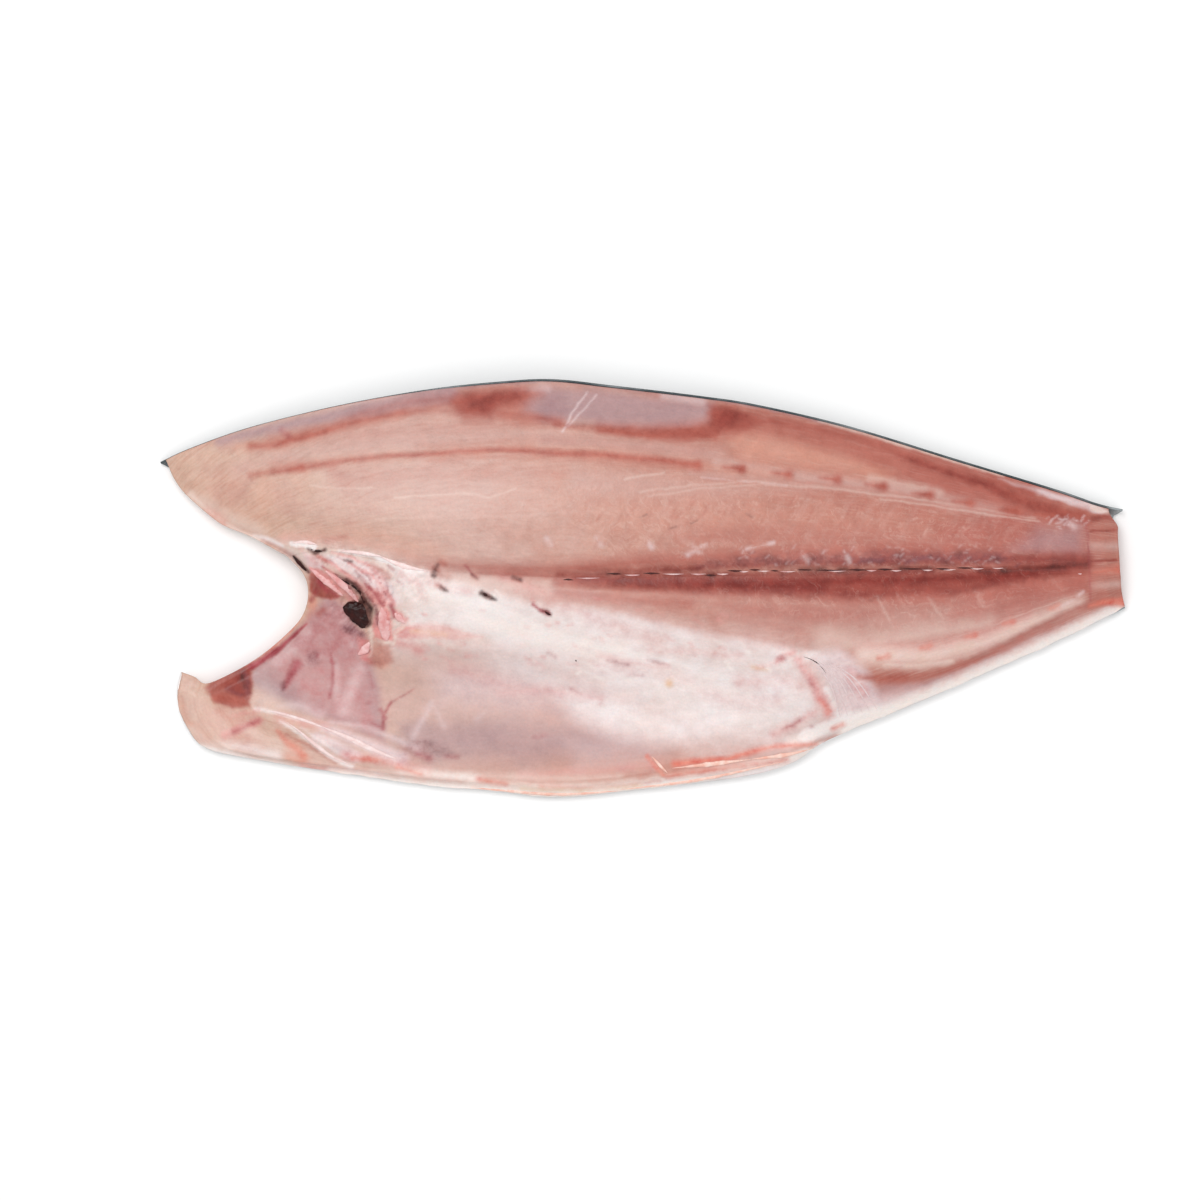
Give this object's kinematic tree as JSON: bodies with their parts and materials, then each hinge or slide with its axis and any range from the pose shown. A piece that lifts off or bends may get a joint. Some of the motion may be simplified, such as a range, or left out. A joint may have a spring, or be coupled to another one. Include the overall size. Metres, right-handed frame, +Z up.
{
  "type": "yellowtail fillet",
  "caption": "Raw skin-on side of yellowtail lying skin down: thick back loin, hollow belly wall, gill cut at the head end and a square tail cut.",
  "frame": {"origin": "middle of the fillet's box in plan, on the surface that it lies on", "axes": "+X from the head end to the tail cut, +Y from the belly edge to the back edge, +Z up from the table"},
  "size_m": [0.499, 0.2156, 0.0406],
  "materials": {
    "flesh": "moist, satin to glossy raw fish flesh",
    "skin": "moist scaleless-looking fish skin, dark along the back and silver on the belly"
  },
  "bodies": {
    "root": {"fillet": "flesh"}
  },
  "joints": []
}
